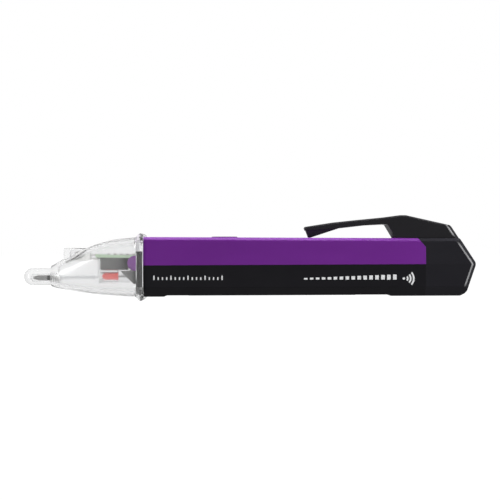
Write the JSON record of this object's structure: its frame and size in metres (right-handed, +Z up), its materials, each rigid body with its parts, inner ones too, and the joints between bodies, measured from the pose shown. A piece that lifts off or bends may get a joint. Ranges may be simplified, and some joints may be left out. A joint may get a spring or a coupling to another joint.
{
  "type": "non contact voltage tester",
  "caption": "Pen-shaped voltage tester: clear tapered nose with probe tube and lamp boss, finger guard, two-tone grip with push button, faceted pull-off tail with a pocket clip.",
  "frame": {"origin": "under the middle of the overall box, level with the lowest point of the finger guard", "axes": "+X runs along the pen from the probe tip to the tail, +Z is up through the button and clip, +Y is to the side"},
  "size_m": [0.1522, 0.0224, 0.0288],
  "materials": {
    "clear_polycarbonate": "clear polished",
    "clear_holder": "clear moulded",
    "clear_lamp": "clear epoxy",
    "red_lamp": "tinted epoxy",
    "pin_steel": "turned, dull",
    "spring_steel": "bright wire",
    "tinned_copper": "tinned wire",
    "lead_insulation": "translucent",
    "silicone_sleeve": "translucent",
    "sounder_black": "fine matt",
    "board_green": "solder mask",
    "chip_black": "matt epoxy",
    "chip_ceramic": "fired ceramic",
    "switch_black": "moulded",
    "plunger_white": "moulded",
    "purple_plastic": "fine spark texture",
    "purple_plastic_button": "smooth satin",
    "seal_rubber": "matt",
    "black_plastic": "fine spark texture",
    "tail_plastic": "fine spark texture",
    "clip_plastic": "satin",
    "tray_black": "moulded",
    "screw_steel": "zinc plated",
    "contact_nickel": "nickel plated",
    "cell_jacket": "printed jacket",
    "label_grey": "satin film"
  },
  "bodies": {
    "grip": {"nose_cone": "clear_polycarbonate", "sensor_pin": "pin_steel", "sensor_spring": "spring_steel", "sensor_lead": "lead_insulation", "lead_sleeve": "silicone_sleeve", "alarm_led": "red_lamp", "alarm_led_leads": "tinned_copper", "led_carrier": "clear_holder", "torch_led": "clear_lamp", "torch_led_leads": "tinned_copper", "buzzer": "sounder_black", "circuit_board": "board_green", "board_chip": "chip_black", "board_passives": "chip_ceramic", "power_switch": "switch_black", "button_gasket": "seal_rubber", "upper_shell": "purple_plastic", "lower_shell": "black_plastic", "inner_chassis": "tray_black", "board_screw_front": "screw_steel", "board_screw_rear": "screw_steel", "positive_contact": "contact_nickel", "negative_strip": "contact_nickel", "battery_front": "cell_jacket", "battery_rear": "cell_jacket", "rating_label": "label_grey"},
    "button": {"power_button": "purple_plastic_button"},
    "plunger": {"switch_plunger": "plunger_white"},
    "tail": {"tail_cap": "tail_plastic", "spring_plate": "contact_nickel", "battery_spring": "spring_steel", "clip_block": "clip_plastic", "clip_screw": "screw_steel"},
    "clip": {"clip_arm": "clip_plastic"}
  },
  "joints": [
    {"name": "button_press", "type": "slide", "parent": "grip", "child": "button", "axis": [0, 0, -1], "range_m": [0, 0.0004], "stiffness_N_per_m": 600, "springref_m": -0.0004},
    {"name": "plunger_press", "type": "slide", "parent": "grip", "child": "plunger", "axis": [0, 0, -1], "range_m": [0, 0.0004]},
    {"name": "cap_pull", "type": "slide", "parent": "grip", "child": "tail", "axis": [1, 0, 0], "range_m": [0, 0.042]},
    {"name": "clip_flex", "type": "hinge", "parent": "tail", "child": "clip", "pos_m": [0.0474, 0, 0.02702], "axis": [0, 1, 0], "range_deg": [0, 7], "stiffness_Nm_per_rad": 0.4, "springref_deg": -1.15}
  ],
  "couplings": [
    {"joint": "plunger_press", "follows": "button_press", "ratio": 1}
  ]
}
